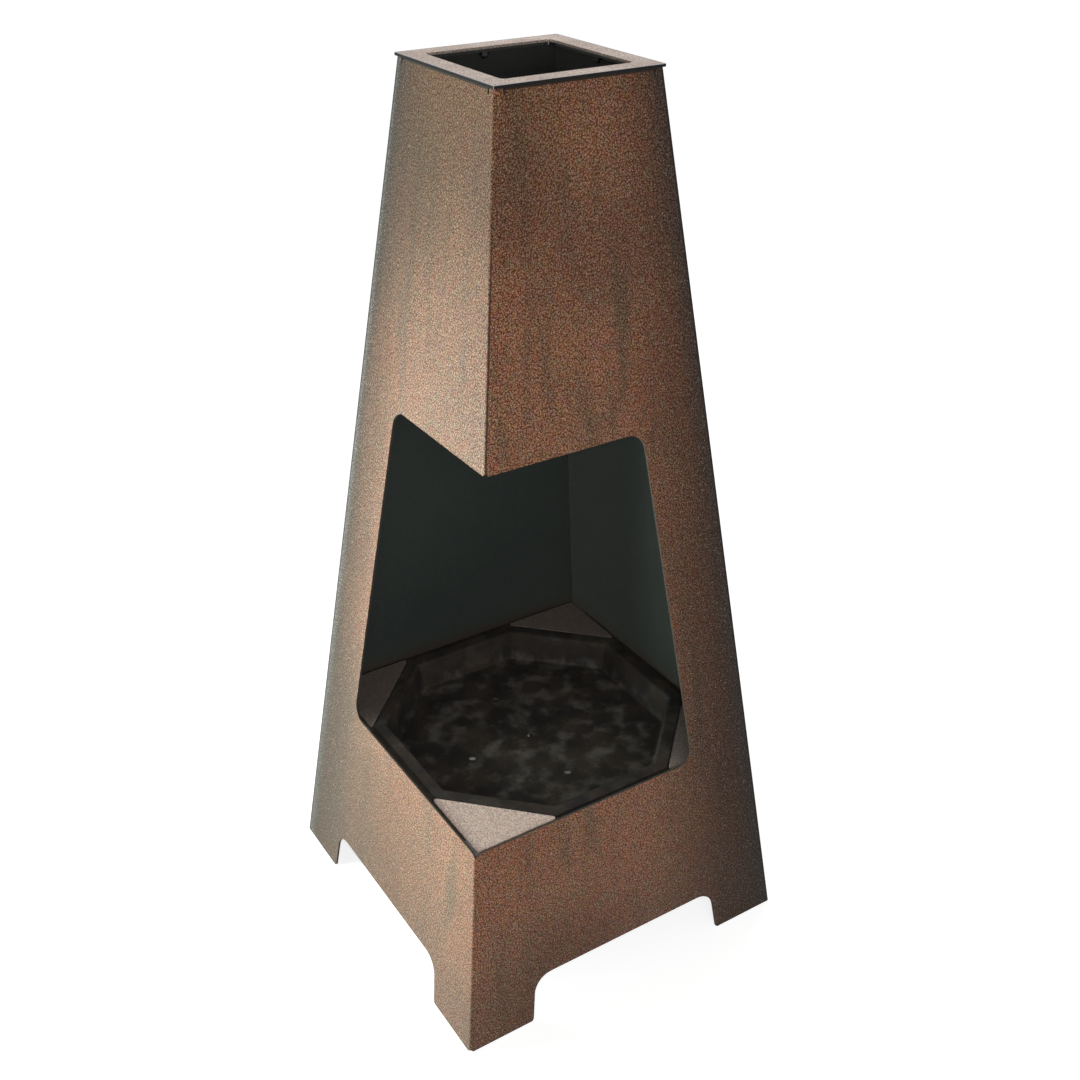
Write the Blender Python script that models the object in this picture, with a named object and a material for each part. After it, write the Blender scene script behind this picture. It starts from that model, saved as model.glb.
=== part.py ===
"""Garden fireplace of folded weathering steel: a tapering square tower with a mouth across one corner.

The front shell and the rear shell are each one sheet folded down a corner of the tower. They overlap at
the two side corners, where return flanges of the rear shell are held by weld studs that don't show
outside. An eight-sided fire pan lies on ledges inside and lifts out.

Frame: metres, +Z up, origin on the floor under the flue. The front corner points to -X -Y.
"""

import math

import bmesh
import bpy
from mathutils import Matrix, Vector

MM = 0.001

# Overall size
BASE_WIDTH = 500 * MM
TOP_WIDTH = 207 * MM
HEIGHT = 1160 * MM
SHEET = 3 * MM
FIT = 0.3 * MM

# Folds: outside radius of a shell's corner and of a flange
FOLD_RADIUS = 3.5 * MM
FLANGE_RADIUS = 4 * MM
FOLD_STEPS = 5

# Mouth, cut across the front fold
SILL_Z = 290 * MM
LINTEL_Z = 762 * MM
MOUTH_STRIP = 94 * MM
SILL_CORNER_RADIUS = 20 * MM
LINTEL_CORNER_RADIUS = 25 * MM
CORNER_STEPS = 7

# Feet, left by an arch in each wall
SKIRT_Z = 66 * MM
FOOT_WIDTH = 97 * MM
FOOT_TIP_RADIUS = 5 * MM
ARCH_RADIUS = 27 * MM

# Reliefs: small round notches where a cut edge crosses a fold
FOOT_RELIEF_RADIUS = 3 * MM
SILL_RELIEF_RADIUS = 3.5 * MM
LINTEL_RELIEF_RADIUS = 2.5 * MM

# Flanges along the walls' top edges, each freed from the corner by a slit
TOP_FLANGE_REACH = 20 * MM
TOP_FLANGE_CLEAR = 12 * MM
SLIT_WIDTH = 2 * MM
SLIT_DEPTH = 7 * MM

# Return flanges of the rear shell, behind the front shell's side edges
RETURN_REACH = 30 * MM
RETURN_TOP_Z = 1135 * MM

# Top plate
TOP_PLATE_WIDTH = 213 * MM
FLUE_WIDTH = 163 * MM
TOP_PLATE_RADIUS = 2 * MM
FLUE_RADIUS = 6 * MM

# Hearth: ledges, corner plates and fire pan share one level
HEARTH_Z = 285 * MM
LEDGE_REACH = 22 * MM
LEDGE_DROP = 25 * MM
LEDGE_LENGTH = 344 * MM
PLATE_WIDTH = 409 * MM
PLATE_DIAGONAL_SUM = 290 * MM
PLATE_CORNER_RADIUS = 4 * MM
PAN_WIDTH = 400 * MM
PAN_DIAGONAL_SUM = 286.5 * MM
PAN_RIM = 18 * MM
PAN_DEPTH = 42 * MM
PAN_DRAFT = 6 * MM
PAN_BEND_RADIUS = 5 * MM
PAN_BEND_STEPS = 3
DRAIN_DIAMETER = 10 * MM
DRAIN_SPACING = 95 * MM

# Fasteners: M6 weld studs and nuts
STUD_DIAMETER = 6 * MM
STUD_LENGTH = 12 * MM
STUD_CHAMFER = 0.8 * MM
STUD_HOLE_DIAMETER = 7.2 * MM
NUT_ACROSS_FLATS = 10 * MM
NUT_HEIGHT = 5 * MM
NUT_BORE_DIAMETER = 6.8 * MM
ROUND_SIDES = 12
SEAM_STUD_HEIGHTS = (130 * MM, 420 * MM, 710 * MM, 1000 * MM)
SEAM_STUD_INSET = 19 * MM
LEDGE_STUD_PLACE = 110 * MM
LEDGE_STUD_DROP = 14 * MM
TOP_STUD_INSET = 12 * MM

# Cutters reach this far past what they cut
CUT_OUT = 4 * MM
CUT_IN = 8 * MM
CUT_PAST = 10 * MM
NOTCH_LENGTH = 26 * MM

# Points closer than this are one point
WELD = 0.001 * MM

# Finishes: colour, roughness and metallic value
RUST = ((0.20, 0.115, 0.07), 0.85, 0.1)
PALE_RUST = ((0.42, 0.32, 0.25), 0.85, 0.1)
SOOT = ((0.03, 0.028, 0.026), 0.9, 0.1)
ZINC = ((0.45, 0.45, 0.44), 0.45, 0.9)

# The sheets start this far under the floor, and their soles are then cut level
SOLE_TRIM = 2 * MM

# Worked out from the sizes above
TOP_PLATE_Z = HEIGHT - SHEET
WALL_TOP_Z = TOP_PLATE_Z - FIT
LEAN = (BASE_WIDTH - TOP_WIDTH) / 2 / WALL_TOP_Z
SLOPE = math.hypot(1, LEAN)
LEAN_ANGLE = math.atan(LEAN)
INSIDE = SHEET + FIT
LEDGE_Z = HEARTH_Z - SHEET - FIT
TOP_FLANGE_HALF = TOP_WIDTH / 2 - TOP_FLANGE_CLEAR

# Quarter turns, anticlockwise from above, that bring the -Y wall or front corner to each place
WALLS = {"front_right": 0, "rear_right": 1, "rear_left": 2, "front_left": 3}
CORNERS = {"front": 0, "right": 1, "rear": 2, "left": 3}


def clear_scene():
    for old in list(bpy.data.objects):
        bpy.data.objects.remove(old, do_unlink=True)


def steel(name, colour, roughness, metallic):
    material = bpy.data.materials.new(name)
    material.use_nodes = True
    shader = material.node_tree.nodes["Principled BSDF"]
    shader.inputs["Base Color"].default_value = (*colour, 1)
    shader.inputs["Roughness"].default_value = roughness
    shader.inputs["Metallic"].default_value = metallic
    return material


def quarter_turn(turns):
    return Matrix.Rotation(turns * math.pi / 2, 4, "Z")


def half_width(z):
    """Half the tower's outside width at height z."""
    return BASE_WIDTH / 2 - LEAN * z


def on_wall(u, z, depth=0.0):
    """A point of the -Y wall: u along it, z up its outer face, then depth into the sheet."""
    return Vector((u, -half_width(z) + depth / SLOPE, z - depth * LEAN / SLOPE))


def rounded(points, radii, steps, closed=True):
    """The 2-D outline with each corner of radius above zero made an arc."""
    outline = []
    for i, (point, radius) in enumerate(zip(points, radii)):
        corner = Vector(point)
        if radius == 0 or (not closed and i in (0, len(points) - 1)):
            outline.append(corner)
            continue
        before = (Vector(points[i - 1]) - corner).normalized()
        after = (Vector(points[(i + 1) % len(points)]) - corner).normalized()
        half = before.angle(after) / 2
        centre = corner + (before + after).normalized() * radius / math.sin(half)
        start = corner + before * radius / math.tan(half) - centre
        end = corner + after * radius / math.tan(half) - centre
        sweep = start.angle_signed(end)
        for step in range(steps + 1):
            outline.append(centre + Matrix.Rotation(-sweep * step / steps, 2) @ start)
    return outline


def new_piece(name, mesh_builder, material):
    """An object whose mesh is the bmesh, with its doubles merged."""
    bmesh.ops.remove_doubles(mesh_builder, verts=mesh_builder.verts, dist=WELD)
    mesh = bpy.data.meshes.new(name)
    mesh_builder.to_mesh(mesh)
    mesh_builder.free()
    mesh.materials.append(material)
    piece = bpy.data.objects.new(name, mesh)
    bpy.context.collection.objects.link(piece)
    return piece


def add_face(mesh_builder, points):
    mesh_builder.faces.new([mesh_builder.verts.new(point) for point in points])


def strip_faces(near_edge, far_edge):
    """The quads of a strip between two rows of points, near row first."""
    pairs = list(zip(near_edge, far_edge))
    return [(near, far, next_far, next_near) for (near, far), (next_near, next_far) in zip(pairs, pairs[1:])]


def add_strips(mesh_builder, near_edge, far_edge):
    for face in strip_faces(near_edge, far_edge):
        add_face(mesh_builder, face)


def add_prism(mesh_builder, low_loop, high_loop):
    """A closed solid between two loops that run anticlockwise seen from the high one."""
    add_face(mesh_builder, list(reversed(low_loop)))
    add_face(mesh_builder, high_loop)
    add_strips(mesh_builder, [*low_loop, low_loop[0]][::-1], [*high_loop, high_loop[0]][::-1])


def thicken(piece):
    """Gives a folded surface the sheet's thickness, behind its outward face."""
    solidify = piece.modifiers.new("sheet", "SOLIDIFY")
    solidify.thickness = SHEET
    solidify.offset = -1
    solidify.use_even_offset = True
    solidify.use_quality_normals = True


def cut(piece, cutters):
    """Cuts the piece with every cutter at once."""
    group = bpy.data.collections.new(piece.name + "_cutters")
    bpy.context.scene.collection.children.link(group)
    for cutter in cutters:
        bpy.context.collection.objects.unlink(cutter)
        group.objects.link(cutter)
        cutter.hide_render = True
        cutter.display_type = "WIRE"
    boolean = piece.modifiers.new("cut", "BOOLEAN")
    boolean.operand_type = "COLLECTION"
    boolean.collection = group
    boolean.solver = "EXACT"


def wall_cutter(name, outline, turns, material):
    """A prism through a wall, square to its face, from an outline of (u, z) points."""
    cutter = bmesh.new()
    inner = [on_wall(u, z, CUT_IN) for u, z in outline]
    outer = [on_wall(u, z, -CUT_OUT) for u, z in outline]
    add_prism(cutter, inner, outer)
    bmesh.ops.transform(cutter, matrix=quarter_turn(turns), verts=cutter.verts)
    return new_piece(name, cutter, material)


def round_cutter(name, frame, diameter, length, material):
    """A round bar along the frame's Z axis, centred on its origin, for a hole or a notch."""
    bar = bmesh.new()
    bmesh.ops.create_cone(
        bar,
        cap_ends=True,
        segments=ROUND_SIDES,
        radius1=diameter / 2,
        radius2=diameter / 2,
        depth=length,
        matrix=frame,
    )
    return new_piece(name, bar, material)


def floor_cutter(name, material):
    """Everything under the floor."""
    half = BASE_WIDTH / 2 + CUT_PAST
    return level_plate(name, square(2 * half, 0), -CUT_PAST, 0, material)


def flange_profile(depth, top_z, reach):
    """(y, z) points of a flange folded off the -Y wall's slope to the level: bend first, then the flat."""
    start_z = top_z - FLANGE_RADIUS * (1 - math.sin(LEAN_ANGLE)) + depth * LEAN / SLOPE
    start = on_wall(0, start_z, depth)
    inward = Vector((0, 1, -LEAN)) / SLOPE
    upward = Vector((0, LEAN, 1)) / SLOPE
    centre = start + inward * FLANGE_RADIUS
    profile = []
    for step in range(FOLD_STEPS + 1):
        angle = (math.pi / 2 - LEAN_ANGLE) * step / FOLD_STEPS
        point = centre + FLANGE_RADIUS * (upward * math.sin(angle) - inward * math.cos(angle))
        profile.append((point.y, point.z))
    profile.append((-half_width(top_z) + depth + reach, top_z))
    return profile


def fold_points(z, centre_u, first_angle):
    """A quarter-round fold at height z in front of the -Y wall, from one tangent to the other."""
    centre = Vector((centre_u, -half_width(z) + FOLD_RADIUS, z))
    points = []
    for step in range(FOLD_STEPS + 1):
        angle = first_angle + math.pi / 2 * step / FOLD_STEPS
        points.append(centre + FOLD_RADIUS * Vector((math.cos(angle), math.sin(angle), 0)))
    return points


def panel_face(end_inset, side_heights):
    """The -Y wall from the fold to its side edge, with a point on that edge at each of the heights."""
    low_z, top_z = side_heights[0], side_heights[-1]
    bend_z = flange_profile(0, WALL_TOP_Z, TOP_FLANGE_REACH)[0][1]
    slit_z = WALL_TOP_Z - SLIT_DEPTH
    slit_u = TOP_FLANGE_HALF + SLIT_WIDTH
    side_edge = [(half_width(z) - end_inset, z) for z in side_heights]
    right_slit = [(slit_u, top_z), (slit_u, slit_z), (TOP_FLANGE_HALF, slit_z), (TOP_FLANGE_HALF, bend_z)]
    left_slit = [(-u, z) for u, z in reversed(right_slit)]
    fold_edge = [(FOLD_RADIUS - half_width(z), z) for z in (top_z, low_z)]
    return [on_wall(u, z) for u, z in side_edge + right_slit + left_slit + fold_edge]


def top_flange_faces():
    """The flange off the -Y wall's top edge: its bend, then the flat with mitred ends."""
    bend = flange_profile(0, WALL_TOP_Z, TOP_FLANGE_REACH)
    half_lengths = [TOP_FLANGE_HALF] * (len(bend) - 1) + [TOP_FLANGE_HALF - TOP_FLANGE_REACH]
    right = [Vector((half, y, z)) for half, (y, z) in zip(half_lengths, bend)]
    left = [Vector((-point.x, point.y, point.z)) for point in right]
    return strip_faces(left, right)


def return_flange_faces(end_inset, low_z):
    """The flange off the -Y wall's side edge: a fold, then a flat along the next wall's inside."""
    edges = []
    for z in (low_z, RETURN_TOP_Z):
        edge = fold_points(z, half_width(z) - end_inset, -math.pi / 2)
        edges.append([*edge, edge[-1] + Vector((0, RETURN_REACH - FOLD_RADIUS, 0))])
    return strip_faces(edges[1], edges[0])


def folded_shell(name, turns, end_inset, material):
    """One sheet folded down a corner: a half, its mirror image across the fold, and the fold itself.

    A shell whose side edges are inset has return flanges there.
    """
    low_z = -SOLE_TRIM
    half = top_flange_faces()
    if end_inset:
        half.append(panel_face(end_inset, (low_z, RETURN_TOP_Z, WALL_TOP_Z)))
        half += return_flange_faces(end_inset, low_z)
    else:
        half.append(panel_face(end_inset, (low_z, WALL_TOP_Z)))
    surface = bmesh.new()
    for face in half:
        add_face(surface, face)
        add_face(surface, [Vector((p.y, p.x, p.z)) for p in reversed(face)])
    low, high = (fold_points(z, FOLD_RADIUS - half_width(z), math.pi) for z in (low_z, WALL_TOP_Z))
    add_strips(surface, high, low)
    bmesh.ops.transform(surface, matrix=quarter_turn(turns), verts=surface.verts)
    shell = new_piece(name, surface, material)
    thicken(shell)
    return shell


def arch_outline():
    """The arch between two feet with round tips. Its lower edge is past the floor."""
    right = []
    for z, flare in ((-CUT_PAST, CUT_PAST), (-FIT, CUT_PAST), (-FIT, 0), (SKIRT_Z, 0)):
        right.append((half_width(z) - FOOT_WIDTH + flare, z))
    left = [(-u, z) for u, z in reversed(right)]
    radii = (0, 0, FOOT_TIP_RADIUS, ARCH_RADIUS)
    return rounded(right + left, radii + radii[::-1], CORNER_STEPS)


def mouth_outline(side):
    """Half of the mouth, on the -Y wall for side 1 and mirrored for the -X wall, from past the fold."""
    points = [
        (-half_width(SILL_Z) - CUT_PAST, SILL_Z),
        (half_width(SILL_Z) - MOUTH_STRIP, SILL_Z),
        (half_width(LINTEL_Z) - MOUTH_STRIP, LINTEL_Z),
        (-half_width(LINTEL_Z) - CUT_PAST, LINTEL_Z),
    ]
    outline = rounded(points, (0, SILL_CORNER_RADIUS, LINTEL_CORNER_RADIUS, 0), CORNER_STEPS)
    return [(side * u, z) for u, z in outline[::side]]


def fold_notch(name, z, radius, turns, material):
    """A round notch through a corner fold at height z."""
    across = Vector((0, 0, 1)).rotation_difference(Vector((1, 1, 0))).to_matrix().to_4x4()
    corner = Matrix.Translation((-half_width(z), -half_width(z), z))
    frame = quarter_turn(turns) @ corner @ across
    return round_cutter(name, frame, 2 * radius, NOTCH_LENGTH, material)


def wall_stud_frame(turns, u, z):
    """Origin on a wall's outer face, Z axis pointing in."""
    inward = Vector((0, 1, -LEAN))
    tilt = Vector((0, 0, 1)).rotation_difference(inward).to_matrix().to_4x4()
    return quarter_turn(turns) @ Matrix.Translation(on_wall(u, z)) @ tilt


def top_stud_frame(turns):
    """Origin on the top plate's underside over a wall's flange, Z axis pointing down."""
    place = Matrix.Translation((0, TOP_STUD_INSET - TOP_WIDTH / 2, TOP_PLATE_Z))
    return quarter_turn(turns) @ place @ Matrix.Rotation(math.pi, 4, "X")


def seam_stud_frames():
    """The name and frame of each stud along the two side seams."""
    for side, wall, sign in (("right", "front_right", 1), ("left", "front_left", -1)):
        for number, z in enumerate(SEAM_STUD_HEIGHTS, start=1):
            u = sign * (half_width(z) - SEAM_STUD_INSET)
            yield f"{side}_{number}", wall_stud_frame(WALLS[wall], u, z)


def ledge_stud_frames(wall):
    """The name and frame of the two studs of one ledge."""
    for number, u in enumerate((-LEDGE_STUD_PLACE, LEDGE_STUD_PLACE), start=1):
        yield f"{wall}_{number}", wall_stud_frame(WALLS[wall], u, LEDGE_Z - LEDGE_STUD_DROP)


def stud_hole(name, frame, material):
    return round_cutter(name, frame, STUD_HOLE_DIAMETER, 2 * (INSIDE + CUT_IN), material)


def wall_cutters(wall, material):
    """What every wall has cut out of it: the arch between its feet and a stud hole in its top flange."""
    turns = WALLS[wall]
    return [
        wall_cutter("arch_" + wall, arch_outline(), turns, material),
        stud_hole("top_hole_" + wall, top_stud_frame(turns), material),
    ]


def make_front_shell(material):
    shell = folded_shell("front_shell", WALLS["front_right"], 0, material)
    cutters = [floor_cutter("front_floor", material)]
    for wall, side in (("front_right", 1), ("front_left", -1)):
        cutters += wall_cutters(wall, material)
        cutters.append(wall_cutter("mouth_" + wall, mouth_outline(side), WALLS[wall], material))
    for name, z, radius in (
        ("foot", 0, FOOT_RELIEF_RADIUS),
        ("sill", SILL_Z, SILL_RELIEF_RADIUS),
        ("lintel", LINTEL_Z, LINTEL_RELIEF_RADIUS),
    ):
        cutters.append(fold_notch("relief_" + name, z, radius, CORNERS["front"], material))
    cut(shell, cutters)


def make_rear_shell(material):
    """Stands inside the front shell's side edges, so its return flanges lie behind them."""
    end_inset = INSIDE * SLOPE + FOLD_RADIUS
    shell = folded_shell("rear_shell", WALLS["rear_left"], end_inset, material)
    cutters = [floor_cutter("rear_floor", material)]
    for wall in ("rear_right", "rear_left"):
        cutters += wall_cutters(wall, material)
    for name, frame in seam_stud_frames():
        cutters.append(stud_hole("seam_hole_" + name, frame, material))
    cutters.append(fold_notch("relief_rear", 0, FOOT_RELIEF_RADIUS, CORNERS["rear"], material))
    cut(shell, cutters)


def level_plate(name, outline, low_z, high_z, material):
    """A flat plate from an anticlockwise outline of (x, y) points."""
    plate = bmesh.new()
    low_loop, high_loop = ([Vector((x, y, z)) for x, y in outline] for z in (low_z, high_z))
    add_prism(plate, low_loop, high_loop)
    return new_piece(name, plate, material)


def square(width, radius):
    half = width / 2
    points = [(-half, -half), (half, -half), (half, half), (-half, half)]
    return rounded(points, [radius] * 4, CORNER_STEPS)


def make_top_plate(material):
    plate = level_plate("top_plate", square(TOP_PLATE_WIDTH, TOP_PLATE_RADIUS), TOP_PLATE_Z, HEIGHT, material)
    flue = level_plate("flue_hole", square(FLUE_WIDTH, FLUE_RADIUS),
                       TOP_PLATE_Z - CUT_PAST, HEIGHT + CUT_PAST, material)
    cut(plate, [flue])


def make_ledge(wall, material):
    """A folded angle: a leg down the wall's inside and a shelf at the hearth's level."""
    bend = flange_profile(INSIDE, LEDGE_Z, LEDGE_REACH)
    foot = on_wall(0, LEDGE_Z - LEDGE_DROP, INSIDE)
    profile = [(foot.y, foot.z), *bend]
    surface = bmesh.new()
    near, far = ([Vector((side * LEDGE_LENGTH / 2, y, z)) for y, z in profile] for side in (-1, 1))
    add_strips(surface, near, far)
    bmesh.ops.transform(surface, matrix=quarter_turn(WALLS[wall]), verts=surface.verts)
    ledge = new_piece("ledge_" + wall, surface, material)
    thicken(ledge)
    cut(ledge, [stud_hole("ledge_hole_" + name, frame, material) for name, frame in ledge_stud_frames(wall)])


def make_corner_plate(name, turns, material):
    """A triangle that fills a corner of the hearth beside the eight-sided pan."""
    half = PLATE_WIDTH / 2
    tip = PLATE_DIAGONAL_SUM - half
    outline = rounded([(-half, -half), (-tip, -half), (-half, -tip)], [PLATE_CORNER_RADIUS] * 3, CORNER_STEPS)
    turned = [(quarter_turn(turns) @ point.to_3d()).to_2d() for point in outline]
    level_plate("corner_plate_" + name, turned, HEARTH_Z - SHEET, HEARTH_Z, material)


def octagon(inset, z):
    """The pan's eight-sided outline, drawn in by inset on every side."""
    half = PAN_WIDTH / 2 - inset
    tip = PAN_DIAGONAL_SUM - inset * math.sqrt(2) - half
    corners = []
    for turns in range(4):
        for x in (-tip, tip):
            corners.append(quarter_turn(turns) @ Vector((x, -half, z)))
    return corners


def make_fire_pan(material):
    """Rim, drawn-in wall and floor, from the rim's outer edge in; it hangs on the ledges by its rim."""
    profile = rounded(
        [(0, 0), (PAN_RIM, 0), (PAN_RIM + PAN_DRAFT, -PAN_DEPTH), (PAN_WIDTH / 4, -PAN_DEPTH)],
        [0, PAN_BEND_RADIUS, PAN_BEND_RADIUS, 0],
        PAN_BEND_STEPS,
        closed=False,
    )
    surface = bmesh.new()
    loops = [octagon(inset, z) for inset, z in profile]
    for outer, inner in zip(loops, loops[1:]):
        add_strips(surface, [*outer, outer[0]][::-1], [*inner, inner[0]][::-1])
    add_face(surface, loops[-1])
    pan = new_piece("fire_pan", surface, material)
    seat = bpy.data.objects.new("fire_pan_seat", None)
    bpy.context.collection.objects.link(seat)
    seat.location = (0, 0, HEARTH_Z)
    pan.parent = seat
    thicken(pan)
    drains = []
    for number, (x, y) in enumerate(((0, 0), (-1, 0), (1, 0), (0, -1), (0, 1))):
        place = Matrix.Translation((x * DRAIN_SPACING, y * DRAIN_SPACING, HEARTH_Z - PAN_DEPTH))
        drains.append(round_cutter(f"drain_{number}", place, DRAIN_DIAMETER, 2 * CUT_IN, material))
    cut(pan, drains)


def nut_mesh(material):
    """A hexagon nut on the Z axis, standing on its lower face."""
    nut = bmesh.new()
    outer, bore = [], []
    for i in range(ROUND_SIDES):
        angle = 2 * math.pi * i / ROUND_SIDES
        to_corner = NUT_ACROSS_FLATS / 2 / math.cos(math.pi / 6) if i % 2 else NUT_ACROSS_FLATS / 2
        direction = Vector((math.cos(angle), math.sin(angle), 0))
        outer.append(direction * to_corner)
        bore.append(direction * NUT_BORE_DIAMETER / 2)
    up = Vector((0, 0, NUT_HEIGHT))
    walk = (bore, outer, [p + up for p in outer], [p + up for p in bore], bore)
    for near, far in zip(walk, walk[1:]):
        add_strips(nut, [*near, near[0]][::-1], [*far, far[0]][::-1])
    piece = new_piece("nut", nut, material)
    mesh = piece.data
    bpy.data.objects.remove(piece)
    return mesh


def stud_mesh(material):
    """A weld stud on the Z axis with its free end chamfered."""
    stud = bmesh.new()
    rings = ((STUD_DIAMETER / 2, 0), (STUD_DIAMETER / 2, STUD_LENGTH - STUD_CHAMFER),
             (STUD_DIAMETER / 2 - STUD_CHAMFER, STUD_LENGTH))
    loops = []
    for radius, z in rings:
        angles = [2 * math.pi * i / ROUND_SIDES for i in range(ROUND_SIDES)]
        loops.append([Vector((radius * math.cos(a), radius * math.sin(a), z)) for a in angles])
    for low, high in zip(loops, loops[1:]):
        add_strips(stud, [*low, low[0]][::-1], [*high, high[0]][::-1])
    add_face(stud, list(reversed(loops[0])))
    add_face(stud, loops[-1])
    piece = new_piece("stud", stud, material)
    mesh = piece.data
    bpy.data.objects.remove(piece)
    return mesh


def place_fastener(group, name, frame, lift, meshes):
    """A stud that starts the lift along its frame's Z axis, and the nut behind the sheet that it holds."""
    for kind, height in (("stud", lift), ("nut", lift + SHEET + FIT)):
        piece = bpy.data.objects.new(f"{group}_{kind}_{name}", meshes[kind])
        bpy.context.collection.objects.link(piece)
        piece.matrix_world = frame @ Matrix.Translation((0, 0, height))


def make_fasteners(material):
    meshes = {"stud": stud_mesh(material), "nut": nut_mesh(material)}
    for name, frame in seam_stud_frames():
        place_fastener("seam", name, frame, INSIDE, meshes)
    for wall, turns in WALLS.items():
        for name, frame in ledge_stud_frames(wall):
            place_fastener("ledge", name, frame, INSIDE, meshes)
        place_fastener("top", wall, top_stud_frame(turns), FIT, meshes)


def main():
    clear_scene()
    rust = steel("weathered_steel", *RUST)
    pale_rust = steel("pale_weathered_steel", *PALE_RUST)
    soot = steel("sooted_steel", *SOOT)
    zinc = steel("zinc_plated_steel", *ZINC)
    make_front_shell(rust)
    make_rear_shell(rust)
    make_top_plate(pale_rust)
    for wall in WALLS:
        make_ledge(wall, soot)
    for name, turns in CORNERS.items():
        make_corner_plate(name, turns, pale_rust)
    make_fire_pan(soot)
    make_fasteners(zinc)


main()
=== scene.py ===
# %% [markdown]
# # A garden chiminea of folded weathering steel
# The object is a tall tapering tower of rusted sheet, with a mouth cut across its front corner, four feet
# left between arches, a flat ring round the flue, and a hearth inside that is made of four corner plates
# and a pan that lifts out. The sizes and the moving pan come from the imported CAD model. This lesson keeps
# those sizes, rounds the cut edges, models the small pieces again by hand and gives each one its finish.
# Lengths are in metres, Z is up, and the fold of the front sheet points to -X and -Y.

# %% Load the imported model
import math
import bmesh
import bpy
from mathutils import Matrix, Vector


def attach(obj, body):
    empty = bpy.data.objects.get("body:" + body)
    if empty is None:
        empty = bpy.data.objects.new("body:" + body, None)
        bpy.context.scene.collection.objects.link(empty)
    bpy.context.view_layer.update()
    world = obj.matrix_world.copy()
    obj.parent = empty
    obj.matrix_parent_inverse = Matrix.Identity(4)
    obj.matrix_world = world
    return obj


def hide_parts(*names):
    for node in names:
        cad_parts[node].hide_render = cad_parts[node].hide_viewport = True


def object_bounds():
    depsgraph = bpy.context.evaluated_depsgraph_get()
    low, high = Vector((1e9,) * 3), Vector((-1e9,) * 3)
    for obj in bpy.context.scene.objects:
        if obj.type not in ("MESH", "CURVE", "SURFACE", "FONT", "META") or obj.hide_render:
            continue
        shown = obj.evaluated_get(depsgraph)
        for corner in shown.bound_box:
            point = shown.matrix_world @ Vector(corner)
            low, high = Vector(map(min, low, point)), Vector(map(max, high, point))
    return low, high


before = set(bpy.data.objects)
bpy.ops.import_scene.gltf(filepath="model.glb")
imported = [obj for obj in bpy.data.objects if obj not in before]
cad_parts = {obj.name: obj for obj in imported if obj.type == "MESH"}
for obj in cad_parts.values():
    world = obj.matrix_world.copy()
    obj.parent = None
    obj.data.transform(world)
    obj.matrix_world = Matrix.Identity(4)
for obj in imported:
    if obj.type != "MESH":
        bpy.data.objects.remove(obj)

cad_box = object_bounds()
print("CAD box", [[round(c, 4) for c in corner] for corner in cad_box])

# %% [markdown]
# ## The camera
# The camera comes first, because every later look at the work goes through it. The tower is seen from a
# little above, with the fold left of the middle. The place and the lens were found by matching the
# corners of the base, the mouth and the ring, so the picture has no shift and no roll.

# %% Place the camera
CAMERA_PLACE = (-0.8025, -1.2840, 1.4376)
CAMERA_TILT, CAMERA_TURN = math.radians(59.939), math.radians(-32.507)
LENS_MM, SENSOR_MM = 44.98, 36.0

bpy.ops.object.select_all(action="DESELECT")
bpy.ops.object.camera_add(location=CAMERA_PLACE, rotation=(CAMERA_TILT, 0.0, CAMERA_TURN))
camera = bpy.context.object
camera.name = "camera"
camera.data.sensor_width = SENSOR_MM
camera.data.lens = LENS_MM
bpy.context.scene.camera = camera
print("camera lens", LENS_MM, "mm")

# %% [markdown]
# ## Five small tools
# An operator works on whatever is selected, so each step starts by selecting one object and nothing else.
# Faces, edges and corners are then picked by a test on their place or direction, which is what a mouse
# click does by eye. A modifier is applied as soon as it is added, so that the mesh is always the real one.
# A bevel or a Boolean can leave two corners on one spot, and welding joins them. A finished piece is
# settled: its place goes into its mesh, so that the object itself sits at the origin.

# %% Select, pick and apply
CLOSE = 0.00001  # corners nearer than this are one corner
HAIR = 0.000001  # a difference too small to count


def only(piece):
    """Select this object alone and make it the active one."""
    bpy.ops.object.select_all(action="DESELECT")
    piece.select_set(True)
    bpy.context.view_layer.objects.active = piece
    return piece


def pick(kind, test):
    """In edit mode, select the faces, edges or verts that pass the test and return their number."""
    bpy.ops.mesh.select_mode(type={"faces": "FACE", "edges": "EDGE", "verts": "VERT"}[kind])
    bpy.ops.mesh.select_all(action="DESELECT")
    mesh = bmesh.from_edit_mesh(bpy.context.object.data)
    chosen = [part for part in getattr(mesh, kind) if test(part)]
    for part in chosen:
        part.select_set(True)
    bmesh.update_edit_mesh(bpy.context.object.data)
    return len(chosen)


def modify(piece, kind, **settings):
    """Add one modifier, set it and apply it at once."""
    only(piece)
    bpy.ops.object.modifier_add(type=kind)
    modifier = piece.modifiers[-1]
    for name, value in settings.items():
        setattr(modifier, name, value)
    bpy.ops.object.modifier_apply(modifier=modifier.name)


def weld(piece):
    """Merge corners that lie on top of each other, as a cut or a bevel can leave them."""
    only(piece)
    bpy.ops.object.mode_set(mode="EDIT")
    bpy.ops.mesh.select_all(action="SELECT")
    bpy.ops.mesh.remove_doubles(threshold=HAIR)
    bpy.ops.mesh.dissolve_degenerate(threshold=HAIR)
    bpy.ops.object.mode_set(mode="OBJECT")


def settle(piece, name):
    """Name a piece and put its place into its mesh."""
    only(piece)
    bpy.ops.object.transform_apply(location=True, rotation=True, scale=True)
    piece.name = name
    piece.data.name = name
    return piece


print("tools ready")

# %% [markdown]
# ## Cut edges that catch the light
# A laser leaves a sharp edge, and grit blasting and rust take the sharpness off. A bevel of a few tenths
# of a millimetre does the same. Only real corners are picked, those that turn by more than 30 degrees, and
# the crowded tiny edges inside the fold reliefs are passed over. A weighted normal then keeps the wide
# faces flat.

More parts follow.
